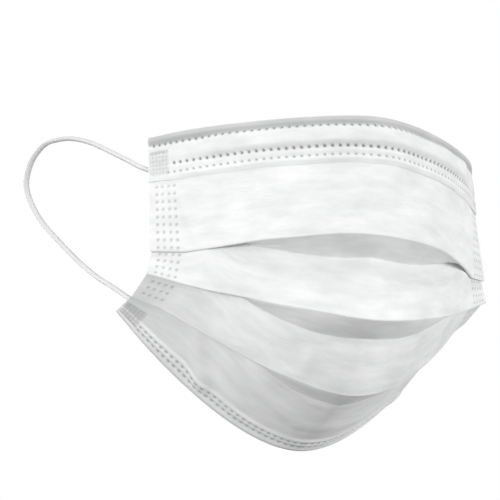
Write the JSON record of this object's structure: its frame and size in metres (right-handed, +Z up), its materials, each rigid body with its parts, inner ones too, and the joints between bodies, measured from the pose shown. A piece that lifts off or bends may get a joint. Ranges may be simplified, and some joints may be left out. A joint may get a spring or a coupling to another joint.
{
  "type": "surgical face mask",
  "caption": "Pleated three-ply surgical face mask in its worn, opened shape, with a nose wire in the top hem and two welded elastic ear loops.",
  "frame": {"origin": "middle of the top edge, where the mask sits on the bridge of the nose", "axes": "+Z up the face, -Y out of the face (the mask's outer side), +X towards the wearer's left"},
  "size_m": [0.1834, 0.1297, 0.1209],
  "materials": {
    "cloth": "matt white spunbond nonwoven",
    "coated_wire": "white plastic coating over a soft wire",
    "elastic": "white knitted elastic"
  },
  "bodies": {
    "root": {"pleated_body": "cloth", "nose_wire": "coated_wire", "ear_loop_right": "elastic", "loop_weld_upper_right": "elastic", "loop_weld_lower_right": "elastic", "ear_loop_left": "elastic", "loop_weld_upper_left": "elastic", "loop_weld_lower_left": "elastic"}
  },
  "joints": []
}
